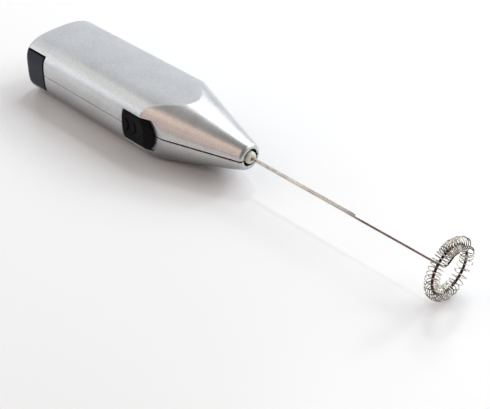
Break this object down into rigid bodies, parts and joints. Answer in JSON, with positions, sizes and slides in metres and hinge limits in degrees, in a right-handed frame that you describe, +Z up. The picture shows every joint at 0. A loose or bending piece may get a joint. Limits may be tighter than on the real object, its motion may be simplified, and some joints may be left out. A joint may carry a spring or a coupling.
{
  "type": "milk frother",
  "caption": "Hand-held battery milk frother: silver two-shell handle with a pointed cone, black side slider and tail cap, long steel shaft and a coil-wound whisk ring.",
  "frame": {"origin": "bottom centre of the whole frother's box, on the surface that the handle lies on", "axes": "+X along the shaft from the tail towards the whisk, +Z up through the thin way of the handle, the slider is on the -Y side"},
  "size_m": [0.229, 0.039, 0.026],
  "materials": {
    "shell_paint": "satin silver metallic paint with a fine grain",
    "black_plastic": "fine-grained charcoal black moulding",
    "cream_plastic": "smooth cream moulding",
    "white_plastic": "plain white moulding",
    "whisk_steel": "drawn stainless wire",
    "coil_steel": "bright spring wire",
    "screw_steel": "zinc-plated steel",
    "contact_nickel": "nickel-plated spring steel",
    "contact_brass": "plain brass strip",
    "copper": "copper",
    "cell_wrap": "plain blue cell sleeve, no markings",
    "motor_steel": "plated steel",
    "ferrite": "dull dark ferrite",
    "lead_red": "red insulated lead",
    "lead_black": "black insulated lead"
  },
  "bodies": {
    "handle": {"upper_shell": "shell_paint", "lower_shell": "shell_paint", "housing_screw_1": "screw_steel", "housing_screw_2": "screw_steel", "housing_screw_3": "screw_steel", "battery_1": "cell_wrap", "battery_2": "cell_wrap", "front_spring": "contact_nickel", "front_contact_positive": "contact_brass", "front_contact_negative": "contact_brass", "contact_bulkhead": "white_plastic", "switch_terminal": "contact_brass", "motor_can": "motor_steel", "motor_end_cap": "white_plastic", "motor_bush": "contact_brass", "magnet_left": "ferrite", "magnet_right": "ferrite", "brush_left": "contact_brass", "brush_right": "contact_brass", "lead_red": "lead_red", "lead_black": "lead_black"},
    "whisk": {"motor_shaft": "motor_steel", "armature_core": "motor_steel", "armature_winding_1": "copper", "armature_winding_2": "copper", "armature_winding_3": "copper", "commutator": "copper", "shaft_coupling": "cream_plastic", "whisk_wire": "whisk_steel", "whisk_coil": "coil_steel"},
    "switch": {"switch_slider": "black_plastic", "switch_bridge": "copper"},
    "tail": {"tail_cap": "black_plastic", "tail_contact": "contact_nickel", "tail_spring": "contact_nickel"}
  },
  "joints": [
    {"name": "whisk_spin", "type": "hinge", "parent": "handle", "child": "whisk", "pos_m": [0, 0, 0.0131], "axis": [1, 0, 0], "continuous": true},
    {"name": "switch_slide", "type": "slide", "parent": "handle", "child": "switch", "axis": [1, 0, 0], "range_m": [0, 0.003]},
    {"name": "tail_cap_pull", "type": "slide", "parent": "handle", "child": "tail", "axis": [-1, 0, 0], "range_m": [0, 0.025]}
  ]
}
